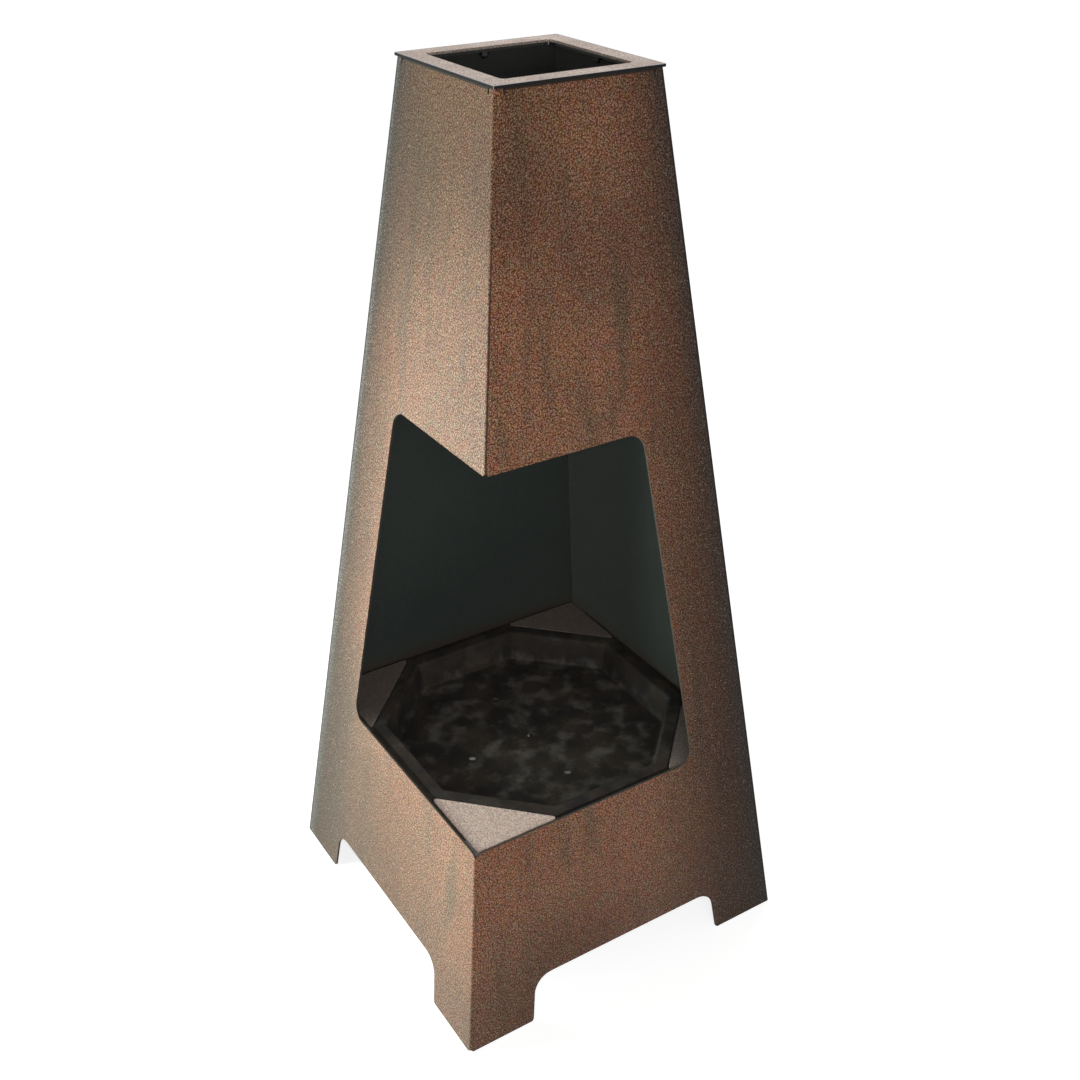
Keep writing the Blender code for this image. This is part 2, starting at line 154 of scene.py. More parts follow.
# %% Ease the edges of a sheet
EASED = 0.0004
TINY_EDGE = 0.001
CORNER_TURN = math.radians(30)
SMOOTH_TURN = math.radians(50)


def is_corner(edge):
    return edge.is_manifold and edge.calc_face_angle() > CORNER_TURN


def ease_edges(piece):
    """Bevel the corners of a closed piece and shade it so that flat faces stay flat."""
    only(piece)
    bpy.ops.object.mode_set(mode="EDIT")
    mesh = bmesh.from_edit_mesh(piece.data)
    tiny = [edge for edge in mesh.edges if is_corner(edge) and edge.calc_length() < TINY_EDGE]
    crowded = {corner.index for edge in tiny for corner in edge.verts}
    count = pick("edges", lambda edge: is_corner(edge) and crowded.isdisjoint(v.index for v in edge.verts))
    bpy.ops.mesh.bevel(offset=EASED, segments=2, affect="EDGES", clamp_overlap=False)
    bpy.ops.object.mode_set(mode="OBJECT")
    weld(piece)
    bpy.ops.object.shade_smooth_by_angle(angle=SMOOTH_TURN)
    modify(piece, "WEIGHTED_NORMAL", keep_sharp=True)
    return count


print("edges will be eased by", EASED * 1000, "mm")

# %% [markdown]
# ## What every finished piece needs to be told
# A piece takes the place of one CAD node, moves with one of the two bodies, and names the finish it is
# made of. The pieces are remembered under the finish, so that a material can be given to all of them later.

# %% Dress the frame
finished = {}


def dress(piece, node, body, finish):
    """Let a piece stand for a CAD node and remember the finish that it gets."""
    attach(piece, body)
    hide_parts(node)
    finished.setdefault(finish, []).append(piece)


print("CAD nodes to dress", len(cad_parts))

# %% [markdown]
# ## The two folded sheets and the four angles
# The tower is two sheets, each folded once. The front one has the mouth cut across its fold and the
# arches that leave the feet; the rear one has narrow flanges that the front one is bolted to. Four small
# folded angles carry the hearth. These outlines are already exact in the CAD model, so drawing them again
# would only add errors. A copy of the CAD mesh is merged and its edges are eased.

# %% Copy and ease the folded sheets
FLAT_TURN = math.radians(0.5)


def folded_copy(node, name):
    """A merged copy of a CAD node with flat faces joined and cut edges eased."""
    piece = bpy.data.objects.new(name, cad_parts[node].data.copy())
    bpy.context.collection.objects.link(piece)
    only(piece)
    bpy.ops.mesh.customdata_custom_splitnormals_clear()
    bpy.ops.object.mode_set(mode="EDIT")
    bpy.ops.mesh.select_all(action="SELECT")
    bpy.ops.mesh.remove_doubles(threshold=CLOSE)
    bpy.ops.mesh.dissolve_limited(angle_limit=FLAT_TURN)
    bpy.ops.object.mode_set(mode="OBJECT")
    count = ease_edges(piece)
    print(name, "edges eased", count, "faces", len(piece.data.polygons))
    return settle(piece, name)


for node, name in (("front_shell", "front_sheet"), ("rear_shell", "rear_sheet")):
    dress(folded_copy(node, name), node, "tower", "rust")

# %% Copy and ease the angles
WALLS = ("front_right", "rear_right", "rear_left", "front_left")
for wall in WALLS:
    dress(folded_copy("ledge_" + wall, "angle_" + wall), "ledge_" + wall, "tower", "soot")

# %% [markdown]
# ## The flue ring
# A flat square plate with a square hole closes the top and hides the flanges. It could be cut out with a
# Boolean, but an inset square is quicker and leaves clean faces: the inner face is deleted, a Solidify
# gives the thickness of the sheet, and the corners get their radius by bevelling the upright edges.

# %% Model the flue ring
SHEET = 0.003
RING_WIDTH, RING_RADIUS = 0.213, 0.002
FLUE_WIDTH, FLUE_RADIUS = 0.163, 0.006
TOP_Z = cad_box[1].z


def upright_at(distance):
    """A test for upright edges at this distance from both middle planes."""
    def test(edge):
        low, high = (corner.co for corner in edge.verts)
        upright = abs(low.z - high.z) > SHEET / 2
        return upright and abs(abs(low.x) - distance) < CLOSE and abs(abs(low.y) - distance) < CLOSE
    return test


only(camera)
bpy.ops.mesh.primitive_plane_add(size=RING_WIDTH, location=(0, 0, TOP_Z))
ring = settle(bpy.context.object, "flue_ring")
bpy.ops.object.mode_set(mode="EDIT")
bpy.ops.mesh.inset(thickness=(RING_WIDTH - FLUE_WIDTH) / 2)
bpy.ops.mesh.delete(type="FACE")
bpy.ops.object.mode_set(mode="OBJECT")
modify(ring, "SOLIDIFY", thickness=SHEET, offset=-1)
print("ring faces", len(ring.data.polygons))

# %% Round the ring's corners
bpy.ops.object.mode_set(mode="EDIT")
for distance, radius in ((RING_WIDTH / 2, RING_RADIUS), (FLUE_WIDTH / 2, FLUE_RADIUS)):
    found = pick("edges", upright_at(distance))
    bpy.ops.mesh.bevel(offset=radius, segments=6, affect="EDGES")
    print("ring corners rounded", found)
bpy.ops.object.mode_set(mode="OBJECT")
ease_edges(ring)
dress(ring, "top_plate", "tower", "dust_and_toplight")

# %% [markdown]
# ## The four corner plates of the hearth
# A triangle of sheet lies in each corner, because the pan has eight sides and leaves the corners open.
# One is made from a square plane that is bisected along the diagonal, and its points are rounded with
# corner bevels. The others are quarter turns of it, each with a mesh of its own.

# %% Model one corner plate
HEARTH_Z = 0.285
PLATE_HALF, PLATE_DIAGONAL, PLATE_RADIUS = 0.2045, 0.290, 0.004
PLATE_MIDDLE = -0.35  # X plus Y, between the square corner and the long edge
SHARP_POINT = PLATE_RADIUS / math.tan(math.radians(22.5))

only(camera)
bpy.ops.mesh.primitive_plane_add(size=2 * PLATE_HALF, location=(0, 0, HEARTH_Z))
plate = settle(bpy.context.object, "hearth_corner_front")
bpy.ops.object.mode_set(mode="EDIT")
bpy.ops.mesh.bisect(
    plane_co=(-PLATE_DIAGONAL / 2, -PLATE_DIAGONAL / 2, HEARTH_Z), plane_no=(1, 1, 0), clear_outer=True
)
print("square corner", pick("verts", lambda corner: corner.co.x + corner.co.y < PLATE_MIDDLE))
bpy.ops.mesh.bevel(offset=PLATE_RADIUS, segments=6, affect="VERTICES")
print("sharp points", pick("verts", lambda corner: corner.co.x + corner.co.y > PLATE_MIDDLE))
bpy.ops.mesh.bevel(offset=SHARP_POINT, segments=6, affect="VERTICES")
bpy.ops.object.mode_set(mode="OBJECT")
modify(plate, "SOLIDIFY", thickness=SHEET, offset=-1)
ease_edges(plate)
dress(plate, "corner_plate_front", "tower", "dust_and_toplight")

# %% Turn copies into the other corners
def quarter(turns):
    """Quarter turns about the tower's axis."""
    return Matrix.Rotation(turns * math.pi / 2, 4, "Z")


def placed_copy(piece, name, place):
    """A copy with its own mesh, moved by a frame."""
    mesh = piece.data.copy()
    mesh.transform(place)
    copy = bpy.data.objects.new(name, mesh)
    bpy.context.collection.objects.link(copy)
    return copy


for turns, corner in ((1, "right"), (2, "rear"), (3, "left")):
    copy = placed_copy(plate, "hearth_corner_" + corner, quarter(turns))
    dress(copy, "corner_plate_" + corner, "tower", "dust_and_toplight")
print("ring and corner plates", len(finished["dust_and_toplight"]))

# %% [markdown]
# ## The pan that lifts out
# The pan is one eight-sided tray. Its rim lies on the angles and its wall leans in a little, so that it
# comes out easily. A square plane becomes an octagon when its corners are bevelled; one inset draws the
# rim, and a second inset with a depth draws the leaning wall and the floor in one step. The two bends get
# a radius, Solidify adds the sheet underneath, and five drain holes are cut with one Boolean each.

# %% Draw the pan's inner surface
PAN_WIDTH, PAN_CORNER_CUT = 0.400, 0.1135
PAN_RIM, PAN_DRAFT, PAN_DEPTH = 0.018, 0.006, 0.042
PAN_BEND_RADIUS = 0.005
PAN_BEND = PAN_BEND_RADIUS * math.tan(math.atan2(PAN_DEPTH, PAN_DRAFT) / 2)

only(camera)
bpy.ops.mesh.primitive_plane_add(size=PAN_WIDTH, location=(0, 0, HEARTH_Z))
pan = settle(bpy.context.object, "ash_pan")
bpy.ops.object.mode_set(mode="EDIT")
bpy.ops.mesh.bevel(offset=PAN_CORNER_CUT, segments=1, affect="VERTICES")
pick("faces", lambda face: True)
bpy.ops.mesh.inset(thickness=PAN_RIM)
bpy.ops.mesh.inset(thickness=PAN_DRAFT, depth=-PAN_DEPTH)


def is_level(edge):
    return abs(edge.verts[0].co.z - edge.verts[1].co.z) < HAIR


print("pan bends", pick("edges", lambda edge: is_level(edge) and is_corner(edge)))
bpy.ops.mesh.bevel(offset=PAN_BEND, segments=5, affect="EDGES")
bpy.ops.object.mode_set(mode="OBJECT")
modify(pan, "SOLIDIFY", thickness=SHEET, offset=-1, use_even_offset=True)

# %% Cut the drain holes
DRAIN_RADIUS, DRAIN_SPACING = 0.005, 0.095
DRILL_REACH = 0.01


def round_bar(name, radius, low_z, high_z, place=(0, 0), sides=32):
    """An upright bar that cuts a round hole or trims a round end."""
    only(camera)
    middle = (low_z + high_z) / 2
    bpy.ops.mesh.primitive_cylinder_add(
        vertices=sides, radius=radius, depth=high_z - low_z, location=(place[0], place[1], middle)
    )
    return settle(bpy.context.object, name)


def combine(piece, tool, operation):
    """Apply a Boolean with a tool body and throw the tool away."""
    modify(piece, "BOOLEAN", operation=operation, object=tool, solver="EXACT")
    bpy.data.objects.remove(tool)


for x, y in ((0, 0), (-1, 0), (1, 0), (0, -1), (0, 1)):
    low = HEARTH_Z - PAN_DEPTH - DRILL_REACH
    spot = (x * DRAIN_SPACING, y * DRAIN_SPACING)
    combine(pan, round_bar("drill", DRAIN_RADIUS, low, low + 2 * DRILL_REACH, spot), "DIFFERENCE")
print("pan edges eased", ease_edges(pan))
dress(pan, "fire_pan", "fire_pan", "soot")

# %% [markdown]
# ## A hexagon nut
# All twenty nuts are alike, so one is modelled at the origin, standing on Z. A cylinder with six sides is
# the blank. A turned nut has its corners taken off by a cone; here that is the part it shares with a
# bevelled bar. The bore is drilled last, plain and a tenth of a millimetre clear of the stud all round.

# %% Model the nut
NUT_FLATS, NUT_HEIGHT, NUT_BORE = 0.010, 0.005, 0.0062
NUT_CORNER = NUT_FLATS / math.sqrt(3)
NUT_BAR = NUT_CORNER * 1.002
NUT_CHAMFER = 0.0009
NUT_DRILL_REACH = 0.001
SMALL_TURN = math.radians(25)

only(camera)
bpy.ops.mesh.primitive_cylinder_add(
    vertices=6, radius=NUT_CORNER, depth=NUT_HEIGHT, location=(0, 0, NUT_HEIGHT / 2)
)
nut = settle(bpy.context.object, "nut")
turned = round_bar("turned", NUT_BAR, 0, NUT_HEIGHT, sides=48)
bpy.ops.object.mode_set(mode="EDIT")
pick("edges", is_level)
bpy.ops.mesh.bevel(offset_type="WIDTH", offset=NUT_CHAMFER, segments=1, affect="EDGES")
bpy.ops.object.mode_set(mode="OBJECT")
combine(nut, turned, "INTERSECT")
drill = round_bar("drill", NUT_BORE / 2, -NUT_DRILL_REACH, NUT_HEIGHT + NUT_DRILL_REACH, sides=24)
combine(nut, drill, "DIFFERENCE")
weld(nut)
bpy.ops.object.shade_smooth_by_angle(angle=SMALL_TURN)
print("nut faces", len(nut.data.polygons))

# %% [markdown]
# ## A threaded weld stud
# The stud is a short M6 rod welded to the back of the sheet, so nothing shows outside. Its thread is a
# zigzag line one pitch high, which the Screw modifier winds upwards. The rows of neighbouring turns meet
# and are merged, two bisects cut the rod near its ends and close them, and a bevelled bar trims the free
# end with a chamfer. The winding starts an odd share of a pitch below the foot, so that no cut falls on
# the thread's own corners.

# %% Wind the thread
STUD_RADIUS, STUD_LENGTH, PITCH = 0.003, 0.012, 0.001
THREAD_DEPTH, THREAD_START = 0.0006, 1.513
THREAD_PROFILE = ((0, 1), (0.12, 1), (0.5, 0), (0.62, 0), (1, 1))  # shares of the pitch and the depth
TURNS, STEPS = 15, 20

only(camera)
bpy.ops.mesh.primitive_plane_add(size=PITCH)
stud = settle(bpy.context.object, "stud")
bpy.ops.object.mode_set(mode="EDIT")
bpy.ops.mesh.delete(type="ONLY_FACE")
pick("edges", lambda edge: edge.verts[0].co.y > 0 or edge.verts[1].co.y > 0)
bpy.ops.mesh.delete(type="EDGE")
bpy.ops.mesh.select_all(action="SELECT")
bpy.ops.mesh.subdivide(number_cuts=len(THREAD_PROFILE) - 2)
profile = bmesh.from_edit_mesh(stud.data)
for corner, (share, depth) in zip(sorted(profile.verts, key=lambda v: v.co.x), THREAD_PROFILE):
    corner.co = (STUD_RADIUS - depth * THREAD_DEPTH, 0, (share - THREAD_START) * PITCH)
bmesh.update_edit_mesh(stud.data)
bpy.ops.object.mode_set(mode="OBJECT")
modify(stud, "SCREW", axis="Z", angle=2 * math.pi, screw_offset=PITCH, iterations=TURNS,
       steps=STEPS, render_steps=STEPS, use_smooth_shade=False)
print("thread faces", len(stud.data.polygons))

# %% Cut the stud to length
STUD_SPARE = PITCH / 3
STUD_CHAMFER = 0.0008
TRIM_RADIUS, TRIM_LOW_Z = STUD_RADIUS * 1.01, -0.002
CUT_SNAP = 1e-7

bpy.ops.object.mode_set(mode="EDIT")
bpy.ops.mesh.select_all(action="SELECT")
bpy.ops.mesh.remove_doubles(threshold=CLOSE)
for height, direction in ((0.0, -1), (STUD_LENGTH + STUD_SPARE, 1)):
    bpy.ops.mesh.select_all(action="SELECT")
    bpy.ops.mesh.bisect(plane_co=(0, 0, height), plane_no=(0, 0, direction),
                        clear_outer=True, use_fill=True, threshold=CUT_SNAP)
bpy.ops.mesh.select_all(action="SELECT")
bpy.ops.mesh.normals_make_consistent(inside=False)
bpy.ops.object.mode_set(mode="OBJECT")
trim = round_bar("trim", TRIM_RADIUS, TRIM_LOW_Z, STUD_LENGTH, sides=40)
bpy.ops.object.mode_set(mode="EDIT")
pick("edges", lambda edge: min(v.co.z for v in edge.verts) > STUD_LENGTH - HAIR)
bpy.ops.mesh.bevel(offset=STUD_CHAMFER, segments=1, affect="EDGES")
bpy.ops.object.mode_set(mode="OBJECT")
combine(stud, trim, "INTERSECT")
weld(stud)
bpy.ops.object.shade_smooth_by_angle(angle=SMALL_TURN)
print("stud faces", len(stud.data.polygons))

# %% [markdown]
# ## Where the studs stand
# Each stud starts on the inside of a wall, or under the ring, and points straight away from it. A small
# frame says where: its Z axis is the stud's own axis. The walls lean in by the same amount, so one wall is
# described and the other three are quarter turns. The nut sits on the same axis behind the sheet it holds.

# %% Frames on the walls
FIT = 0.0003  # the gap between sheets that touch
BASE_HALF, TOP_HALF = 0.250, 0.1035
WALL_TOP_Z = TOP_Z - SHEET - FIT
LEAN = (BASE_HALF - TOP_HALF) / WALL_TOP_Z
INSIDE = SHEET + FIT
TOP_STUD_INSET = 0.012


def half_width(z):
    return BASE_HALF - LEAN * z


def wall_frame(turns, along, z):
    """A point on a wall's outer face, with Z pointing squarely through the sheet."""
    inward = Vector((0, 1, -LEAN))
    tilt = Vector((0, 0, 1)).rotation_difference(inward).to_matrix().to_4x4()
    return quarter(turns) @ Matrix.Translation((along, -half_width(z), z)) @ tilt


def ring_frame(turns):
    """A point under the ring, over a wall's flange, with Z pointing down."""
    place = Matrix.Translation((0, TOP_STUD_INSET - TOP_HALF, TOP_Z - SHEET))
    return quarter(turns) @ place @ Matrix.Rotation(math.pi, 4, "X")


print("walls lean by", round(math.degrees(math.atan(LEAN)), 2), "degrees")

# %% Place the studs and nuts
SEAM_STUD_HEIGHTS, SEAM_STUD_INSET = (0.130, 0.420, 0.710, 1.000), 0.019
LEDGE_STUD_PLACE, LEDGE_STUD_DROP = 0.110, 0.014
LEDGE_STUD_Z = HEARTH_Z - INSIDE - LEDGE_STUD_DROP


def fasten(group, label, place, lift):
    """One stud, its foot this far along the frame, and its nut one sheet further."""
    for kind, model, height in (("stud", stud, lift), ("nut", nut, lift + INSIDE)):
        copy = placed_copy(model, f"{kind}_{group}_{label}", place @ Matrix.Translation((0, 0, height)))
        dress(copy, f"{group}_{kind}_{label}", "tower", "zinc")


for side, turns, sign in (("right", 0, 1), ("left", 3, -1)):
    for number, z in enumerate(SEAM_STUD_HEIGHTS, start=1):
        along = sign * (half_width(z) - SEAM_STUD_INSET)
        fasten("seam", f"{side}_{number}", wall_frame(turns, along, z), INSIDE)
for turns, wall in enumerate(WALLS):
    for number, along in enumerate((-LEDGE_STUD_PLACE, LEDGE_STUD_PLACE), start=1):
        fasten("ledge", f"{wall}_{number}", wall_frame(turns, along, LEDGE_STUD_Z), INSIDE)
    fasten("top", wall, ring_frame(turns), FIT)
for model in (stud, nut):
    bpy.data.objects.remove(model)
print("studs and nuts", len(finished["zinc"]))

# %% [markdown]
# ## Tools for finishes
# A finish is a small net of shader nodes. These helpers keep it short: one adds a node and joins its
# inputs, and the others are the kinds used most. Colours are written as they read on a screen, from 0 to
# 255, and are turned into the linear values that shaders work with. Every pattern hangs on the Object
# coordinates, so it is measured in metres and stays on the steel when a piece moves.

# %% Node helpers
def tone(red, green, blue):
    """A screen colour as a linear one."""
    linear = [((c / 255 + 0.055) / 1.055) ** 2.4 for c in (red, green, blue)]
    return (*linear, 1.0)


def put(tree, kind, inputs, **options):
    """Add a node; an input is a plain value or another node's output."""
    made = tree.nodes.new("ShaderNode" + kind)
    for name, value in options.items():
        setattr(made, name, value)
    for name, value in inputs.items():
        if isinstance(value, bpy.types.NodeSocket):
            tree.links.new(value, made.inputs[name])
        else:
            made.inputs[name].default_value = value
    return made


def calc(tree, operation, first, *others):
    """Work one sum on two or more values, from left to right; ABSOLUTE and SQRT take a single one."""
    for second in others or (0.0,):
        first = put(tree, "Math", {0: first, 1: second}, operation=operation).outputs[0]
    return first


def blend(tree, amount, under, over):
    """Lay one colour over another by an amount from 0 to 1."""
    return put(tree, "Mix", {0: amount, 6: under, 7: over}, data_type="RGBA").outputs[2]


def fade(tree, value, start, end, low=0.0, high=1.0):
    """Go smoothly from low to high while a value goes from start to end."""
    inputs = {"Value": value, "From Min": start, "From Max": end, "To Min": low, "To Max": high}
    return put(tree, "MapRange", inputs, interpolation_type="SMOOTHSTEP").outputs[0]


def noise(tree, spot, scale, detail=2.0, stretch=(1, 1, 1), offset=(0, 0, 0)):
    """Soft cloudy noise, as many waves to the metre as its scale says."""
    moved = put(tree, "Mapping", {"Vector": spot, "Scale": stretch, "Location": offset}).outputs[0]
    return put(tree, "TexNoise", {"Vector": moved, "Scale": scale, "Detail": detail}).outputs[0]


print("node helpers ready")

# %% Start and give a material
SHEEN_ROUGHNESS = 0.5
SHEEN_TINT = (0.95, 0.99, 0.88, 1.0)


def new_finish(name, specular, metallic=0.0, sheen=0.0):
    """A material with its shader, its object coordinates and their three parts."""
    material = bpy.data.materials.new(name)
    material.use_nodes = True
    tree = material.node_tree
    shader = tree.nodes["Principled BSDF"]
    shader.inputs["Specular IOR Level"].default_value = specular
    shader.inputs["Metallic"].default_value = metallic
    shader.inputs["Sheen Weight"].default_value = sheen
    shader.inputs["Sheen Roughness"].default_value = SHEEN_ROUGHNESS
    shader.inputs["Sheen Tint"].default_value = SHEEN_TINT
    spot = put(tree, "TexCoord", {}).outputs["Object"]
    parts = put(tree, "SeparateXYZ", {0: spot}).outputs
    return material, tree, shader, spot, parts


def roughen(tree, shader, height, strength, distance):
    """Let a pattern stand out of the surface a little."""
    bump = put(tree, "Bump", {"Strength": strength, "Distance": distance, "Height": height})
    tree.links.new(bump.outputs[0], shader.inputs["Normal"])


def give(material, finish):
    """Put a material on all the pieces that were dressed for it."""
    for piece in finished[finish]:
        piece.data.materials.clear()
        piece.data.materials.append(material)
    print(material.name, "on", len(finished[finish]), "pieces")


print("finishes to make", sorted(finished))

# %% [markdown]
# ## Weathered steel: where on the sheet are we?
# The rust has different tones outside, on the cut edges and inside, and it is darker where the sheets meet
# at the side corners. All of that can be told from the place alone. The tower is a leaning square with
# rounded folds, so the depth under its outer skin is the distance to a rounded square whose size shrinks
# with height. X minus Y tells how far along the walls a point is from the nearer fold, to the right or to
# the left, and what is left of the wall's width is the distance to the side seam.

# %% Depth and seam distance
FOLD_RADIUS = 0.0035


def skin_depth(tree, parts):
    """How deep a point is under the tower's outer skin, and the half width at its height."""
    half = calc(tree, "SUBTRACT", BASE_HALF, calc(tree, "MULTIPLY", parts[2], LEAN))
    straight = calc(tree, "SUBTRACT", half, FOLD_RADIUS)
    past = [calc(tree, "SUBTRACT", calc(tree, "ABSOLUTE", parts[i]), straight) for i in (0, 1)]
    squares = [calc(tree, "POWER", calc(tree, "MAXIMUM", p, 0.0), 2.0) for p in past]
    round_part = calc(tree, "SQRT", calc(tree, "ADD", *squares))
    flat_part = calc(tree, "MINIMUM", calc(tree, "MAXIMUM", *past), 0.0)
    depth = calc(tree, "SUBTRACT", FOLD_RADIUS, calc(tree, "ADD", round_part, flat_part))
    return depth, half


rust, tree, shader, spot, parts = new_finish("weathered_steel", specular=0.2, sheen=0.3)
depth, half = skin_depth(tree, parts)
height = parts[2]
along = calc(tree, "SUBTRACT", parts[0], parts[1])
wall_width = calc(tree, "MULTIPLY", half, 2.0)
seam = calc(tree, "SUBTRACT", wall_width, calc(tree, "ABSOLUTE", along))
print("weathered steel started, nodes", len(tree.nodes))

# %% [markdown]
# ## Weathered steel: the rust itself
# Rust on this steel is a fine hard skin of many browns. Wide noise gives soft patches, finer noise gives
# blotches that lean to red, olive, ochre or mauve, and noise stretched along Z gives the streaks that rain
# has drawn down the walls. The blotches are about as bright as the steel round them, so they read as
# colour and not as dirt. A few wide stains lie where the steel has stayed wet for longer.

# %% Tones of the rust
patches = noise(tree, spot, 13.0, detail=4.0)
hues = noise(tree, spot, 8.0, detail=3.0, offset=(3.1, 1.7, 0.4))
blotches = noise(tree, spot, 110.0, detail=3.0)
tints = noise(tree, spot, 140.0, detail=3.0, offset=(1.3, 0.2, 2.1))
streaks = noise(tree, spot, 1.0, detail=3.0, stretch=(30, 30, 2.2), offset=(0.6, 2.3, 0.0))

brown = blend(tree, fade(tree, patches, 0.38, 0.66), tone(136, 92, 58), tone(149, 100, 63))
for amount, over in (
    (fade(tree, hues, 0.45, 0.68, high=0.7), tone(152, 87, 50)),
    (fade(tree, blotches, 0.50, 0.68, high=0.7), tone(160, 88, 49)),
    (fade(tree, blotches, 0.34, 0.50, low=0.65, high=0.0), tone(118, 106, 69)),
    (fade(tree, tints, 0.50, 0.66, high=0.65), tone(146, 106, 45)),
    (fade(tree, tints, 0.36, 0.50, low=0.65, high=0.0), tone(136, 90, 75)),
    (fade(tree, streaks, 0.48, 0.72, high=0.65), tone(88, 76, 50)),
):
    brown = blend(tree, amount, brown, over)
print("rust nodes", len(tree.nodes))

# %% Stains on the rust
STAINS = (
    ((-0.12, 0.03, 1.14), 0.24, 0.58, tone(98, 68, 28)),
    ((-0.13, 0.13, 1.02), 0.21, 0.5, tone(66, 44, 12)),
    ((-0.24, 0.12, 0.13), 0.32, 0.6, tone(70, 52, 38)),
    ((-0.10, -0.25, 0.04), 0.18, 0.35, tone(60, 44, 34)),
    ((-0.09, -0.12, 1.05), 0.10, 0.42, tone(66, 50, 38)),
    ((0.01, -0.12, 0.98), 0.10, 0.35, tone(66, 46, 36)),
)
STAIN_CORE = 0.2  # the share of a stain's radius that is full strength
stained = 0.0
for place, radius, amount, over in STAINS:
    away = put(tree, "VectorMath", {0: spot, 1: place}, operation="DISTANCE").outputs["Value"]
    stain = fade(tree, away, STAIN_CORE * radius, radius, low=amount, high=0.0)
    brown = blend(tree, stain, brown, over)
    stained = calc(tree, "MAXIMUM", stained, stain)
print("stains", len(STAINS))

# %% [markdown]
# ## Weathered steel: seams, grain and lines
# The walls are painted darker towards the side seams, more so lower down, and near the ground: this is
# painted shade where less light reaches. Right at the seams they turn grey, and the left edge has a thin
# painted bluish highlight, strongest near the top. The grain is two mosaics laid over each other: random
# cells a millimetre across, and pimples about two and a half millimetres apart on the unrolled walls,
# which keep the grain even. Dark grains turn to a deep red brown and pale ones are lifted, and a few are
# nearly white. Thin dark lines lie beside the front fold, along the seams, at the ground and under the
# ring, where little light gets in.

# %% Darker towards the seams and the ground
across = calc(tree, "DIVIDE", along, wall_width)
falloff_shade_right = fade(tree, across, 0.5, 1.0, high=0.95)
falloff_shade_left = fade(tree, across, -1.0, -0.58, low=0.95, high=0.0)
painted_seam_shade = calc(tree, "MULTIPLY", calc(tree, "MAXIMUM", falloff_shade_right, falloff_shade_left),
                 fade(tree, height, 0.2, 1.1, low=1.0, high=0.65))
painted_ground_shade = fade(tree, height, 0.0, 0.2, low=0.35, high=0.0)
grey_seam = fade(tree, seam, 0.004, 0.034, low=0.6, high=0.0)
painted_left_edge_light = calc(tree, "MULTIPLY", fade(tree, across, -1.0, -0.95, low=0.8, high=0.0),
                 fade(tree, height, 0.2, 1.1, low=0.35))
# Painted shade: the walls darken towards the side seams and near the ground, where less light reaches.
brown = blend(tree, painted_seam_shade, brown, tone(55, 35, 25))
brown = blend(tree, painted_ground_shade, brown, tone(62, 48, 38))
brown = blend(tree, grey_seam, brown, tone(46, 48, 48))
# Painted highlight: a pale bluish light along the left wall's outer edge, strongest near the top.
brown = blend(tree, painted_left_edge_light, brown, tone(114, 119, 129))
print("rust nodes", len(tree.nodes))

# %% Grain of the rust
CELLS, PIMPLES = 1100.0, 420.0
CELL_SHARE, PIMPLE_SHARE = 0.55, 0.45
DEEP = (0.30, 0.05, 0.0)  # how much of each colour a dark grain keeps
GLINT = (1.38, 0.98, 0.82)  # the warm tint that lifts a pale grain


def grains(tree, spot, scale):
    """Three random numbers for each cell of a fine mosaic."""
    cells = put(tree, "TexVoronoi", {"Vector": spot, "Scale": scale}).outputs["Color"]
    return put(tree, "SeparateColor", {0: cells}).outputs


def grain_over(tree, colour, grit, dark, pale):
    """Deepen the low grains and lift the high ones, by shares of the colour's own brightness."""
    deep = put(tree, "VectorMath", {0: colour, 1: DEEP}, operation="MULTIPLY").outputs[0]
    colour = blend(tree, fade(tree, grit, 0.1, 0.6, low=dark, high=0.0), colour, deep)
    bright = put(tree, "RGBToBW", {0: colour}).outputs[0]
    lift = calc(tree, "MULTIPLY", bright, fade(tree, grit, 0.45, 1.0, high=pale))
    return put(tree, "VectorMath", {0: lift, 1: GLINT, 2: colour}, operation="MULTIPLY_ADD").outputs[0]


fine = grains(tree, spot, CELLS)
unrolled = put(tree, "CombineXYZ", {0: along, 1: height}).outputs[0]
pimples = put(tree, "TexVoronoi", {"Vector": unrolled, "Scale": PIMPLES, "Randomness": 0.9},
              voronoi_dimensions="2D").outputs["Distance"]
grit = calc(tree, "ADD", calc(tree, "MULTIPLY", fine[0], CELL_SHARE),
            fade(tree, pimples, 0.1, 0.62, low=PIMPLE_SHARE, high=0.0))
brown = grain_over(tree, brown, grit, dark=0.92, pale=1.9)
sparkle = fade(tree, fine[1], 0.988, 0.996, high=0.7)
brown = blend(tree, sparkle, brown, tone(215, 200, 182))
print("grains to the metre", CELLS, "and", PIMPLES)

# %% Dark lines at the fold, the seams and the ends
from_left, from_right = (calc(tree, "ADD", parts[i], half) for i in (0, 1))
fold_line = calc(
    tree, "MULTIPLY",
    fade(tree, from_left, 0.0005, 0.0010),
    fade(tree, from_left, 0.0020, 0.0032, low=1.0, high=0.0),
    fade(tree, from_right, 0.0010, 0.0016, low=1.0, high=0.0),
    fade(tree, height, 0.96, 1.08, low=0.85, high=0.0),
    fade(tree, height, 0.60, 0.65),
)
seam_line = fade(tree, seam, 0.002, 0.005, low=0.85, high=0.0)
ground_line = fade(tree, height, 0.0006, 0.0022, low=0.7, high=0.0)
ring_line = fade(tree, height, 1.1545, 1.1560, high=0.7)
lines = calc(tree, "MAXIMUM", fold_line, seam_line, ground_line, ring_line)
brown = blend(tree, lines, brown, tone(28, 23, 21))
print("rust nodes", len(tree.nodes))
